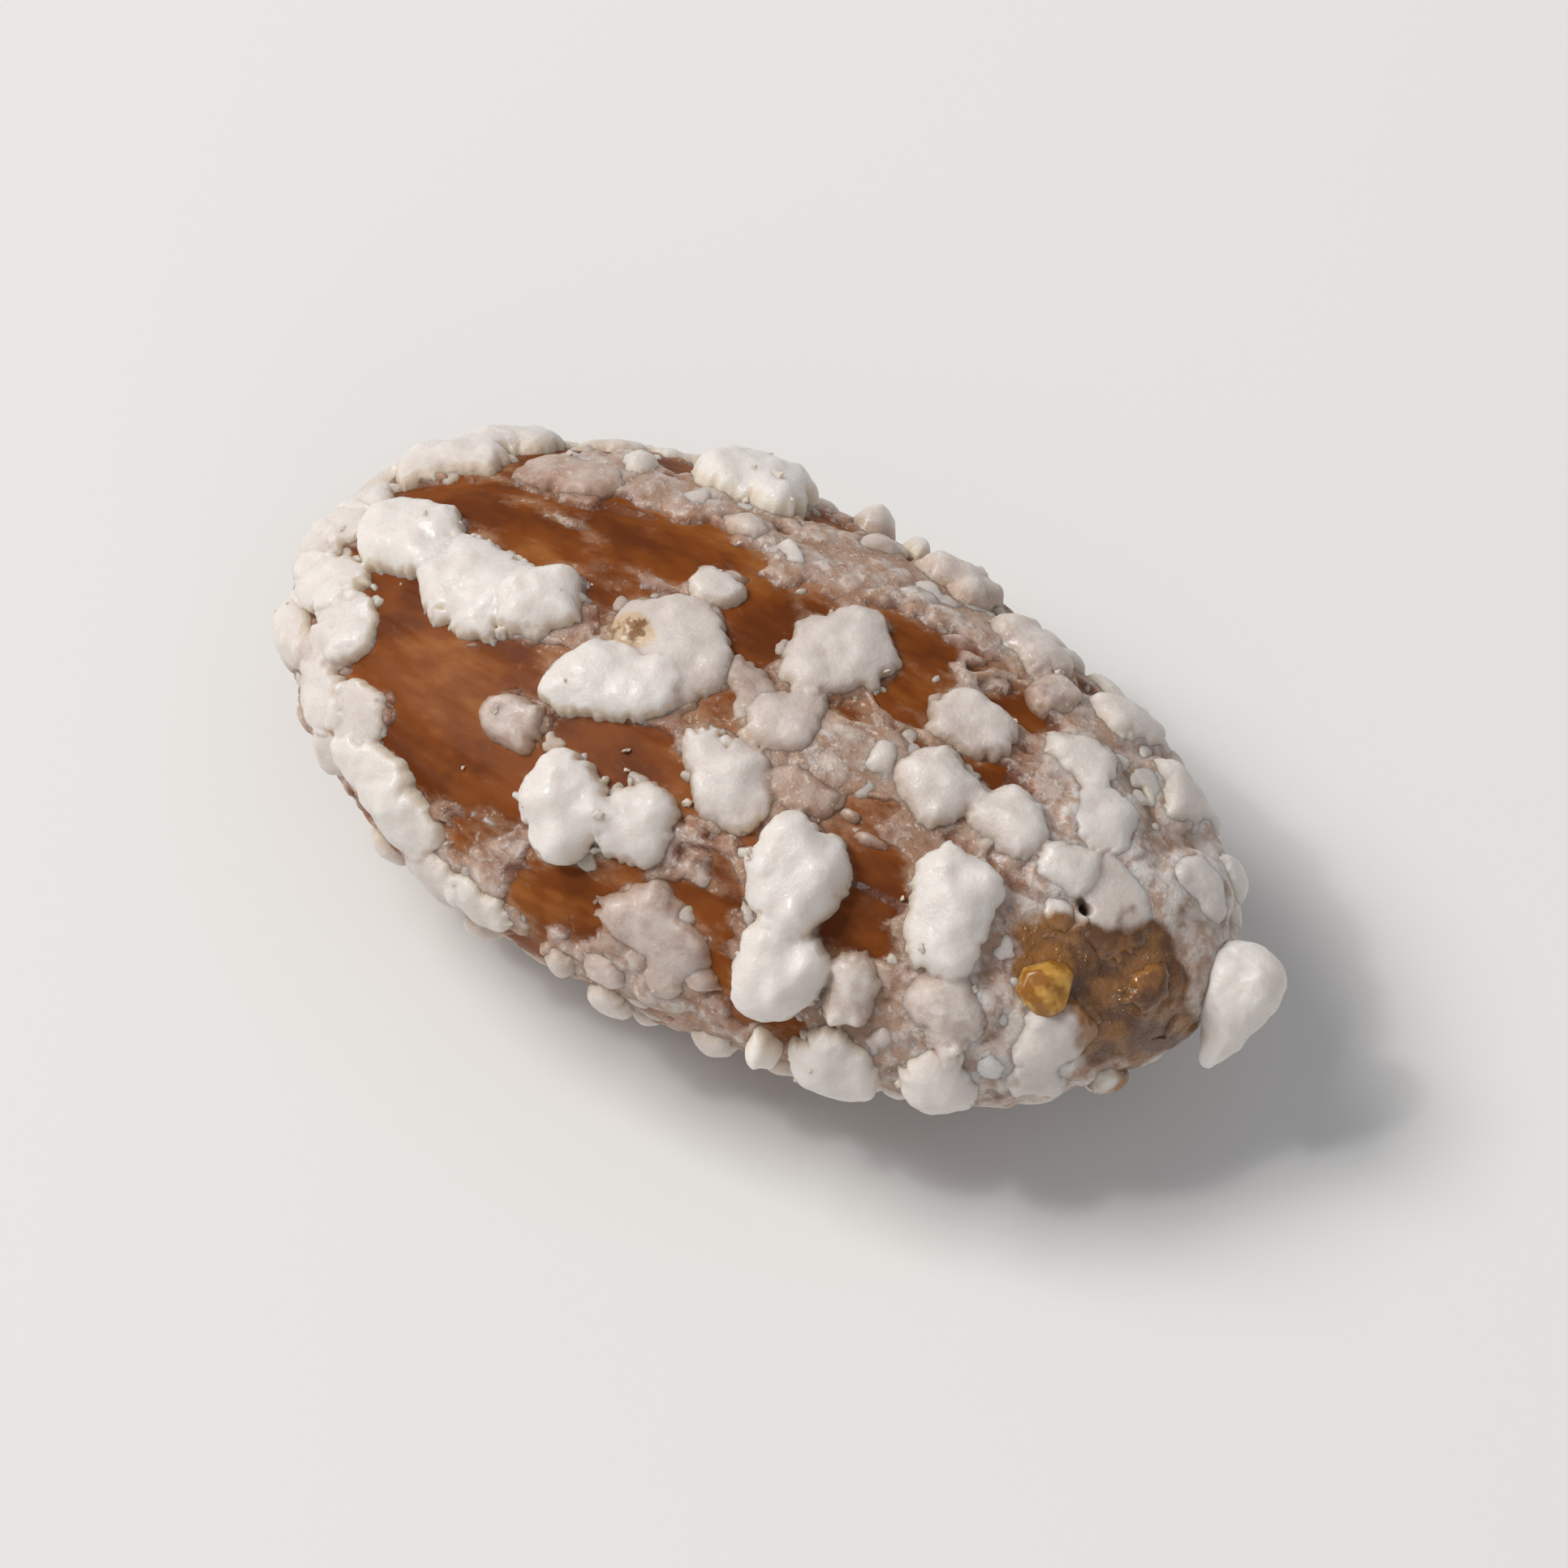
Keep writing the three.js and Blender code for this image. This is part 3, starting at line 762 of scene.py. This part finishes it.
def lumpRelief(direction, lumps, blend):
    # over points of the skin, taken in order of x: how far inside the nearest lump's outline each is, the
    # lumps' height there, and their chalk. An outline is between an ellipse and a many-sided shape,
    # joined with those of its knobs. A lump's height follows 1 - (1 - t)^a, to the power b, where t runs
    # from 0 at its outline to 1 at its middle: a is larger for flat lumps, b for clear ones, which are
    # softer. The scalloped outline is cut out of that, with a crisp edge where the lump is chalky
    order = np.argsort(-direction[:, 0], kind="stable")
    point = skinPoint(direction[order])
    normal = skinNormal(direction[order])
    bend = noiseVector(point, relief["bendSize"], 4, 11)
    bend -= normal * (bend * normal).sum(1, keepdims=True)
    bent = point + relief["bend"] * bend
    lobe = relief["cellMean"] - cells(bent, relief["lobeSize"], 31)[0]
    tooth = relief["cellMean"] - cells(bent, relief["toothSize"], 37)[0]
    toothed = np.clip(0.5 + 1.5 * roughNoise(point, 0.6, 2, 33), 0, 1.6)
    scallop = relief["lobes"] * lobe + relief["teeth"] * tooth * toothed
    inside = np.full(len(point), -1.0)
    height = np.zeros(len(point))
    weight = np.full(len(point), 1e-3)
    chalk = weight * 0.5
    middle, axes, half, white = (lumps[key] for key in ("middle", "axes", "half", "chalk"))
    corners = lumpCorners(len(white))
    sunk = 1 - relief["tipFlattens"] * tipCover(middle) / tipCrust["thickness"]
    firsts = np.flatnonzero(lumps["joined"] == 0)
    for first, after in zip(firsts, [*firsts[1:], len(white)]):
        size = half[first]
        reach = 1.45 * size[0] + 0.6  # of its outline with its knobs
        start = np.searchsorted(-point[:, 0], -middle[first, 0] - reach)
        stop = np.searchsorted(-point[:, 0], -middle[first, 0] + reach)
        near = start + np.flatnonzero((np.abs(point[start:stop, 1:] - middle[first, 1:]) < reach).all(1))
        small = min(1.0, (size[1] / relief["fullHalf"]) ** 0.7)
        angular = between(relief["angular"], min(1.0, size[1]) ** 1.5)
        plain = np.full(len(near), -1.0)
        for i in range(first, after):
            offset = (bent[near] - middle[i]) @ axes[i].T
            level = offset[:, :2] / half[i, :2]
            away = angular * (level @ corners[i].T).max(1) + (1 - angular) * np.hypot(*level.T)
            own = np.where(np.abs(offset[:, 2]) > half[i].max() + 0.8, -1, (1 - away) * half[i, 1])
            plain = joinedHigher(plain, own, relief["knobBlend"])
        plain -= relief["drawnIn"] * small
        deep = plain + scallop[near] * small
        flatness = size[2] / np.sqrt(size[0] * size[1])
        crisp = white[first]
        lip = relief["lip"] * small * crisp
        t = np.clip((plain + lip) / (size[1] + lip), 0, 1)
        shrink = 1 - relief["flatShrinks"] * np.clip(1.25 - flatness, 0, 1)
        bulge = np.clip(3.4 - 1.4 * flatness, 2, 3)
        rise = size[2] * sunk[first] * shrink * (1 - (1 - t) ** bulge) ** (0.95 - 0.4 * crisp)
        rise *= np.sqrt(np.clip(deep / (relief["cliff"] + relief["cliffClear"] * (1 - crisp)), 0, 1))
        higher = np.maximum(height[near], rise)
        filled = joinedHigher(height[near], rise, 3 * blend) - higher
        height[near] = higher + filled * np.clip(np.minimum(height[near], rise) / blend, 0, 1)
        inside[near] = np.maximum(inside[near], deep)
        share = np.maximum(deep + 0.1, 0) ** 2
        weight[near] += share
        chalk[near] += share * crisp
    back = np.argsort(order)
    return inside[back], height[back], (chalk / weight)[back]


def thinned(name, point, quads, triangles, settings):
    # the grid smoothed a little, with its triangles brought down to this number, fewest where it is
    # smooth: its points and triangles in millimetres, and its mesh
    halves = np.concatenate([quads[:, [0, 1, 2]], quads[:, [0, 2, 3]], triangles])
    dense = makeMesh(name, relaxed(point, halves, settings["smoothed"]), quads, triangles)
    holder = linked(name, dense)
    holder.modifiers.new("thinned", "DECIMATE").ratio = min(1, settings["triangles"] / len(halves))
    evaluated = holder.evaluated_get(bpy.context.evaluated_depsgraph_get())
    point, triangle = meshArrays(bpy.data.meshes.new_from_object(evaluated))
    bpy.data.objects.remove(holder)
    point[:, 2] = np.maximum(point[:, 2], 0)
    print(f"{name}: {len(triangle)} triangles")
    return point, triangle, makeMesh(name, point * millimetre, np.empty((0, 4), int), triangle)


def makeLumps(name, lumps, blend, material):
    # the lumps' relief: their height over the skin or the tip's crust inside their outlines, and a
    # surface that runs under the skin between them
    direction, quads, triangles = ballGrid(relief["rings"], relief["around"], relief["crowded"])
    surface = skinPoint(direction)
    inside, height, _ = lumpRelief(direction, lumps, blend)
    shown = smoothStep(inside, -0.02, 0.04)
    swell = roughNoise(surface, relief["swellSize"], 2, 51)
    grain = 0.5 - cells(surface, relief["grainSize"], 53)[0]
    top = height * (1 + relief["swellShare"] * swell)
    top += smoothStep(height, 0, 0.5) * (relief["swell"] * swell + relief["grain"] * grain)
    top += relief["onCrust"] * tipCover(surface) - pitDepth * spotsAt(surface, spots["pit"])
    point = raised(direction, shown * top - (1 - shown) * relief["dip"])
    point, triangle, mesh = thinned(name, point, quads, triangles, relief)
    direction, standing = nearestSkin(point)
    inside, _, chalk = lumpRelief(direction, lumps, blend)
    addSugarLook(mesh, point, direction, standing - 0.2 * tipCover(point), inside, chalk)
    makePiece(name, mesh, material)
    return point, triangle


# The drop at the tip
dropForm = {
    "power": 3.2,  # 2 for a ball, more for squarer sides
    "narrows": 0.8,  # share lost towards its lower end
    "narrowPower": 1.6,
    "rise": 0.36,  # share of its height by which its middle stands over its foot
    "bend": 0.24,
    "bendSize": 0.95,
    "looks": {"standing": 0.7, "inside": 0.6, "chalk": 0.95, "veil": 1},
}


def makeDrop(material):
    # a ball stretched to the drop's half sizes along its own axes, squared off a little, narrowed
    # towards one end and bent by noise, its foot in the crust of the tip
    direction, quads, triangles = ballGrid(90, 140)
    level = np.hypot(direction[:, 0], direction[:, 1])
    power = dropForm["power"]
    ball = direction / ((level**power + np.abs(direction[:, 2]) ** power) ** (1 / power))[:, None]
    taper = 1 - dropForm["narrows"] * ((1 - ball[:, :1]) / 2) ** dropForm["narrowPower"]
    ball *= np.concatenate([np.ones_like(taper), taper, taper], 1)
    middle, axes, half = (lumps[key][dropNumber] for key in ("middle", "axes", "half"))
    rise = dropForm["rise"]
    point = (ball * half * [1, 1, 1 - rise]) @ axes + middle + axes[2] * half[2] * rise
    point += dropForm["bend"] * noiseVector(point, dropForm["bendSize"], 3, 95)
    point[:, 2] = np.maximum(point[:, 2], 0)
    mesh = makeMesh("sugarDrop", point * millimetre, quads, triangles)
    looks = dropForm["looks"].items()
    addAttributes(mesh, {name: np.full(len(point), float(value)) for name, value in looks})
    makePiece("sugarDrop", mesh, material)


def filmRelief(direction):
    # its height over the skin: thickness where the veil is thick, cracked into chips of uneven height,
    # the tip's crust with its swellings, and a dip under the skin where there is none
    surface = skinPoint(direction)
    bent = surface + 0.12 * roughNoise(surface, 0.5, 2, 77)[:, None]
    _, border, number = cells(bent, film["chipSize"], 71)
    over = veilAt(direction) - film["from"]
    present = smoothStep(over * 2.2 - (number * 7 % 1 - 0.5), -0.3, 0.3)
    chip = film["chip"] * number * smoothStep(border, 0, film["crack"])
    mound = film["mound"] * frostAt(direction) * (0.75 - cells(surface, film["moundSize"], 47)[0])
    height = present * (film["thickness"] + chip + mound) - (1 - present) * film["dip"]
    tip = tipCover(surface) / tipCrust["thickness"]
    swelling = film["tipSwell"] * (0.6 - cells(surface, film["tipSwellSize"], 45)[0])
    smoothed = 1 - film["syrupSmooths"] * spotsAt(surface, spots["syrup"])
    crustHeight = tipCover(surface) * (0.85 + film["tipUneven"] * roughNoise(surface, 1.0, 3, 8))
    crustHeight += tip * smoothed * (swelling + film["tipSkirt"] * nearLumps(surface))
    return height * (1 - film["tipThins"] * tip) + crustHeight - pitDepth * spotsAt(surface, spots["pit"])


def makeFilm(material):
    direction, quads, triangles = ballGrid(film["rings"], film["around"], relief["crowded"])
    point = raised(direction, filmRelief(direction))
    point, _, mesh = thinned("sugarFilm", point, quads, triangles, film)
    direction, standing = nearestSkin(point)
    white = np.maximum(tipCover(point) / tipCrust["thickness"], frostAt(direction))
    chalk = cells(skinPoint(direction), film["chipSize"], 71)[2] * 0.4 + 0.4 * white
    outside = np.full(len(point), -1.0)
    addSugarLook(mesh, point, direction, standing - 0.25 * tipCover(point), outside, chalk)
    makePiece("sugarFilm", mesh, material)


# The skin: the kernel's surface with fine ridges from end to end

skin = {"rings": 165, "around": 580, "ridge": 0.09, "ridgeSize": 0.7, "lengthwise": 1.6}


def makeSkin(material):
    # ridges are noise drawn out along the kernel, deeper where they gather at the ends
    direction, quads, triangles = ballGrid(skin["rings"], skin["around"])
    x = direction[:, :1]
    across = direction[:, 1:] / np.maximum(np.sqrt(1 - x**2), 0.05) * kernelHalf[1:]
    drawnOut = np.concatenate([x * skin["lengthwise"], across], 1)
    ridge = roughNoise(drawnOut / skin["ridgeSize"], 1, 3, 71) - 0.5
    mesh = makeMesh("roastedSkin", raised(direction, skin["ridge"] * ridge) * millimetre, quads, triangles)
    addAttributes(mesh, {"veil": veilAt(direction)})
    makePiece("roastedSkin", mesh, material)


# Crystal: a clear golden grain in the crust of the tip

crystal = {
    "along": 9.6,
    "across": -2.75,
    "rise": 0.42,
    "half": (0.74, 0.84, 0.6),
    "sides": 22,
    "nearest": 0.7,  # of its planes, as a share of the half sizes
    "farther": 0.25,
    "seed": 8,
}


def makeCrystal(material):
    # over the ball's directions, the nearest of several planes that face out at random distances
    direction, quads, triangles = ballGrid(40, 56)
    random = np.random.default_rng(crystal["seed"])
    facing = unit(random.normal(size=(crystal["sides"], 3)))
    away = crystal["nearest"] + crystal["farther"] * random.random(crystal["sides"])
    reach = np.max(np.column_stack([direction @ facing.T / away, np.ones(len(direction))]), axis=1)
    foot = faceDirection(crystal["along"], crystal["across"], 1)[None]
    point = direction / reach[:, None] * crystal["half"] + raised(foot, crystal["rise"])
    mesh = makeMesh("amberCrystal", point * millimetre, quads, triangles)
    makePiece("amberCrystal", mesh, material)


# Crumbs: small sharp grains on the crust and the skin

crumbs = {"count": 110, "halfSize": (0.05, 0.13), "seed": 9}


def makeCrumbs(material, point, triangle):
    # grains of a few faces, each stretched by its own noise, on points drawn evenly over the crust
    random = np.random.default_rng(crumbs["seed"])
    count = crumbs["count"]
    a, b, c = (point[triangle[:, i]] for i in range(3))
    area = np.linalg.norm(np.cross(b - a, c - a), axis=1)
    chosen = random.choice(len(triangle), count, p=area / area.sum())
    place = (a[chosen] + b[chosen] + c[chosen]) / 3
    direction, standing = nearestSkin(place)
    place = np.where(standing[:, None] < 0.02, skinPoint(direction), place)
    ball, quads, triangles = ballGrid(4, 5)
    size = between(crumbs["halfSize"], random.random(count) ** 2.5)
    turn = np.linalg.qr(random.normal(size=(count, 3, 3)))[0]
    uneven = 1 + 0.25 * random.normal(size=(count, len(ball), 1))
    stretch = 0.5 + 0.9 * random.random((count, 1, 3))
    grain = np.einsum("nmi,nij->nmj", ball * np.clip(uneven, 0.5, 1.6) * stretch, turn)
    grain = (grain * size[:, None, None] + place[:, None]).reshape(-1, 3)
    grain[:, 2] = np.maximum(grain[:, 2], 0)
    shift = len(ball) * np.arange(count)[:, None, None]
    quads, triangles = (quads + shift).reshape(-1, 4), (triangles + shift).reshape(-1, 3)
    mesh = makeMesh("sugarCrumbs", grain * millimetre, quads, triangles)
    makePiece("sugarCrumbs", mesh, material, smooth=False)


# Materials


class Wire:
    # A node's output. Arithmetic on it adds Math nodes, so that a mask reads as a formula.
    def __init__(self, tree, socket=None):
        self.tree = tree
        self.socket = socket

    def node(self, kind, settings=None, inputs=None, output=0):
        # adds a node: its settings first, then a value or a link for each named socket
        made = self.tree.nodes.new("ShaderNode" + kind)
        for name, value in (settings or {}).items():
            setattr(made, name, value)
        for name, value in (inputs or {}).items():
            if isinstance(value, Wire):
                self.tree.links.new(value.socket, made.inputs[name])
            else:
                made.inputs[name].default_value = value
        return Wire(self.tree, made.outputs[output])

    def maths(self, operation, a, b):
        return self.node("Math", {"operation": operation}, {0: a, 1: b})

    def __add__(self, other):
        return self.maths("ADD", self, other)

    def __radd__(self, other):
        return self.maths("ADD", other, self)

    def __sub__(self, other):
        return self.maths("SUBTRACT", self, other)

    def __rsub__(self, other):
        return self.maths("SUBTRACT", other, self)

    def __mul__(self, other):
        return self.maths("MULTIPLY", self, other)

    def __rmul__(self, other):
        return self.maths("MULTIPLY", other, self)

    def __rpow__(self, other):
        return self.maths("POWER", other, self)

    def smooth(self, low, high):
        # 0 below low, 1 above high, a smooth step between
        settings = {"interpolation_type": "SMOOTHSTEP"}
        return self.node("MapRange", settings, {"Value": self, "From Min": low, "From Max": high})

    def mix(self, a, b):
        # colour a where this is 0, colour b where it is 1
        return self.node("Mix", {"data_type": "RGBA"}, {0: self, 6: a, 7: b}, 2)

    def noise(self, scale, detail=3, roughness=0.55):
        # noise over the object, of this many features to the millimetre, from 0 to 1
        place = self.node("TexCoord", None, None, 3)
        inputs = {"Vector": place, "Scale": [s / millimetre for s in np.broadcast_to(scale, 3)]}
        stretched = self.node("Mapping", None, inputs)
        inputs = {"Vector": stretched, "Scale": 1.0, "Detail": detail, "Roughness": roughness}
        return self.node("TexNoise", None, inputs)

    def attribute(self, name):
        # what the mesh says at each point
        return self.node("Attribute", {"attribute_name": name}, None, 2)

    def bump(self, strength, distance, height):
        # the normal tilted by this height, where 1 stands so many millimetres high
        inputs = {"Strength": strength, "Distance": distance * millimetre, "Height": height}
        return self.node("Bump", None, inputs)


def makeMaterial(name, surface):
    # a shader with the settings that this function works out on the node tree
    material = bpy.data.materials.new(name)
    material.use_nodes = True
    material.node_tree.nodes.clear()
    sheet = Wire(material.node_tree)
    shader = sheet.node("BsdfPrincipled", None, surface(sheet))
    output = material.node_tree.nodes.new("ShaderNodeOutputMaterial")
    material.node_tree.links.new(shader.socket, output.inputs["Surface"])
    return material


skinLook = {
    "dark": (0.125, 0.028, 0.003, 1),
    "brown": (0.21, 0.053, 0.006, 1),
    "light": (0.31, 0.105, 0.022, 1),
    "haze": (0.44, 0.265, 0.165, 1),  # thin sugar on it
    "hazeMost": 0.74,
    "speck": (0.72, 0.63, 0.55, 1),
}


def veiledSkin(sheet):
    # soft blotches and faint streaks from end to end, under a haze of sugar that noise breaks up
    streak = sheet.noise((0.35, 1.0, 1.0), 3, 0.5)
    broad = sheet.noise((0.5, 0.7, 0.7), 3, 0.5)
    fine = sheet.noise((2.0, 3.5, 3.5), 4, 0.6)
    tone = streak * 0.35 + broad * 0.55 + fine * 0.1
    colour = tone.smooth(0.4, 0.55).mix(skinLook["dark"], skinLook["brown"])
    colour = (streak * 0.5 + broad * 0.35 + fine * 0.15).smooth(0.52, 0.66).mix(colour, skinLook["light"])
    patchy = sheet.noise((1.1, 1.7, 1.7), 4, 0.6)
    broken = sheet.noise((2.5, 4.5, 4.5), 4, 0.65)
    haze = sheet.attribute("veil") + (broken - 0.5) * 0.8 + (patchy - 0.5) * 1.3
    haze = haze.smooth(0.2, 1.0) * skinLook["hazeMost"]
    specks = sheet.noise(6.0, 2).smooth(0.6, 0.7) * haze
    colour = haze.mix(colour, skinLook["haze"])
    return specks.mix(colour, skinLook["speck"]), haze, streak, fine


sugarLook = {
    "white": (0.78, 0.725, 0.68, 1),
    "clear": (0.60, 0.50, 0.445, 1),
    "crumb": (0.68, 0.59, 0.51, 1),
    "edge": (0.86, 0.75, 0.56, 1),  # where the light comes through a lump's thin edge
    "amber": (0.33, 0.135, 0.018, 1),
    "golden": (0.62, 0.36, 0.08, 1),
    "syrup": (0.14, 0.052, 0.01, 1),
    "caramel": (0.32, 0.135, 0.025, 1),
    # painted shade: near black, put inside the small hole
    "pit": (0.05, 0.02, 0.01, 1),
    "toasted": (0.66, 0.43, 0.17, 1),  # yellow stain with a brown middle
    "burnt": (0.26, 0.13, 0.035, 1),
    "veil": 0.36,  # thickness in millimetres that hides about two thirds of the skin
}


def sugarSurface(sheet):
    # white where it is thick, letting the hazy skin through where it is thin
    standing, inside, chalk = (sheet.attribute(name) for name in ("standing", "inside", "chalk"))
    syrup, amber, toasted, pit = (sheet.attribute(name) for name in spots)
    under = veiledSkin(sheet)[0]
    cloudy = sheet.noise(1.1, 3)
    fine = sheet.noise(6, 3)
    lumpy = inside.smooth(-0.09, -0.01)  # 0 on the film
    patchy = sheet.noise(2.2, 4, 0.6).smooth(0.35, 0.65)
    flecks = sheet.noise(3.4, 2, 0.6).smooth(0.54, 0.62) * (1 - lumpy)
    clear = 1 - lumpy * chalk.smooth(0.2, 0.8)
    thick = 1 - clear + clear * (0.2 + 0.2 * lumpy + (1.2 - 0.25 * lumpy) * patchy)
    depth = standing + 0.55 * lumpy * chalk * chalk + 0.3 * flecks + 0.08 * (1 - lumpy)
    depth = depth * (0.35 + 0.95 * chalk) * thick
    hidden = 1 - 2.718 ** (depth * (-1 / sugarLook["veil"]))
    body = standing.smooth(0.0, 0.8) * 0.5 + chalk * 0.5 + cloudy * 0.4
    sugar = body.smooth(0.25, 1.05).mix(sugarLook["clear"], sugarLook["white"])
    # painted light: a cream glow on the lumps' thin edges, standing in for light that comes through them
    sugar = ((lumpy - inside.smooth(-0.01, 0.17)) * 0.75).mix(sugar, sugarLook["edge"])
    sugar = (toasted.smooth(0.0, 0.7) * 0.6).mix(sugar, sugarLook["toasted"])
    blotch = sheet.noise(2.6, 2)
    sugar = (toasted + (blotch - 0.5) * 2.5).smooth(0.8, 1.1).mix(sugar, sugarLook["burnt"])
    colour = hidden.mix(under, sugar)
    brown = cloudy.smooth(0.4, 0.6).mix(sugarLook["syrup"], sugarLook["caramel"])
    colour = (syrup * (1.5 - cloudy)).smooth(0.05, 0.6).mix(colour, brown)
    colour = (amber * (0.6 + fine)).smooth(0.5, 1.1).mix(colour, sugarLook["amber"])
    # painted shade: the small hole coloured near black
    colour = pit.mix(colour, sugarLook["pit"])
    grit = sheet.noise(13, 2)
    glints = sheet.noise(8, 1).smooth(0.6, 0.68)
    return {
        "Base Color": colour,
        "Roughness": 0.38 + 0.3 * fine - 0.3 * glints - 0.28 * syrup,
        "Normal": sheet.bump(0.6, 0.07, fine + 0.4 * grit + flecks),
        "Coat Weight": cloudy.smooth(0.4, 0.7) * 0.35 + syrup * 0.7,
        "Coat Roughness": 0.14,
        "Subsurface Weight": 0.8,
        "Subsurface Radius": (1.0, 0.85, 0.7),
        "Subsurface Scale": 0.7 * millimetre,
        "IOR": 1.5,
    }


def amberSurface(sheet):
    cloudy = sheet.noise(1.6, 3)
    return {
        "Base Color": cloudy.smooth(0.42, 0.6).mix(sugarLook["amber"], sugarLook["golden"]),
        "Roughness": 0.24,
        "Subsurface Weight": 0.7,
        "Subsurface Radius": (1.0, 0.6, 0.2),
        "Subsurface Scale": 0.5 * millimetre,
        "IOR": 1.5,
    }


def skinSurface(sheet):
    colour, haze, streak, fine = veiledSkin(sheet)
    return {
        "Base Color": colour,
        "Roughness": 0.48 + 0.2 * haze + 0.1 * fine,
        "Normal": sheet.bump(0.5, 0.05, fine * 0.6 + streak),
        "Specular IOR Level": 0.15,
    }


def crumbSurface(_):
    return {"Base Color": sugarLook["crumb"], "Roughness": 0.5, "Specular IOR Level": 0.3}


def floorSurface(_):
    return {"Base Color": stageLook["floor"], "Roughness": 0.7}


# Stage

stageLook = {
    "azimuth": 30,  # of the camera, 0 looks along +Y
    "elevation": 60,
    "distance": 0.55,
    "frameWidth": 0.0385,  # what the picture takes in at the almond
    "sensor": 36,
    "floor": (0.82, 0.81, 0.79, 1),
    "sky": (0.93, 0.95, 1, 1),
    "skyPower": 0.34,
    # name, place, size, power in watts and colour
    "lamps": [
        ("window", (-0.40, -0.08, 0.54), 0.32, 3.25, (1, 0.98, 0.95)),
        ("fill", (0.4, -0.45, 0.4), 0.5, 0.3, (0.93, 0.96, 1)),
        ("sparkle", (-0.30, -0.16, 0.55), 0.05, 0.4, (1, 1, 1)),
    ],
}


def makeStage():
    floor = bpy.data.meshes.new("floor")
    floor.from_pydata([(-2, -2, 0), (2, -2, 0), (2, 2, 0), (-2, 2, 0)], [], [(0, 1, 2, 3)])
    floor.materials.append(makeMaterial("pale floor", floorSurface))
    ground = linked("floor", floor)
    world = bpy.data.worlds.new("studio")
    world.use_nodes = True
    sky = world.node_tree.nodes["Background"].inputs
    sky["Color"].default_value = stageLook["sky"]
    sky["Strength"].default_value = stageLook["skyPower"]
    bpy.context.scene.world = world
    for name, place, size, power, colour in stageLook["lamps"]:
        lamp = bpy.data.lights.new(name, "AREA")
        lamp.energy = power
        lamp.size = size
        lamp.color = colour
        holder = linked(name, lamp)
        holder.location = place
        holder.rotation_euler = (-Vector(place)).to_track_quat("-Z", "Y").to_euler()


def makeCamera():
    # looks down on the almond from the side that the photograph shows, from far off with a long lens
    azimuth, elevation = np.radians([stageLook["azimuth"], stageLook["elevation"]])
    level = np.cos(elevation)
    back = Vector((np.sin(azimuth) * level, -np.cos(azimuth) * level, np.sin(elevation)))
    lens = bpy.data.cameras.new("camera")
    lens.sensor_width = stageLook["sensor"]
    lens.lens = stageLook["sensor"] * stageLook["distance"] / stageLook["frameWidth"]
    lens.clip_start = 0.05
    lens.clip_end = 5
    camera = linked("camera", lens)
    camera.location = (cadBox[0] + cadBox[1]) / 2 + back * stageLook["distance"]
    camera.rotation_euler = (-back).to_track_quat("-Z", "Y").to_euler()
    bpy.context.scene.camera = camera


bpy.context.scene.view_settings.view_transform = "Standard"
makeStage()
makeCamera()
makeSkin(makeMaterial("roasted almond skin", skinSurface))
print("skin made")
sugar = makeMaterial("crystallised sugar", sugarSurface)
makeFilm(sugar)
makeDrop(sugar)
makeCrystal(makeMaterial("amber sugar", amberSurface))
platePoint, plateTriangle = makeLumps("sugarPlates", lumpArrays(lumpRows[:dropNumber]), 0.16, sugar)
print("large lumps made")
small = lumpRows[dropNumber + 1 :] + [measuredRow(*scrap) for scrap in scraps]
small += [*satelliteRows(lumpRows), *smallRows()]
makeLumps("sugarGrains", lumpArrays(small), 0.1, sugar)
print("small lumps made")
makeCrumbs(makeMaterial("sugar crumbs", crumbSurface), platePoint, plateTriangle)
print("crumbs made")
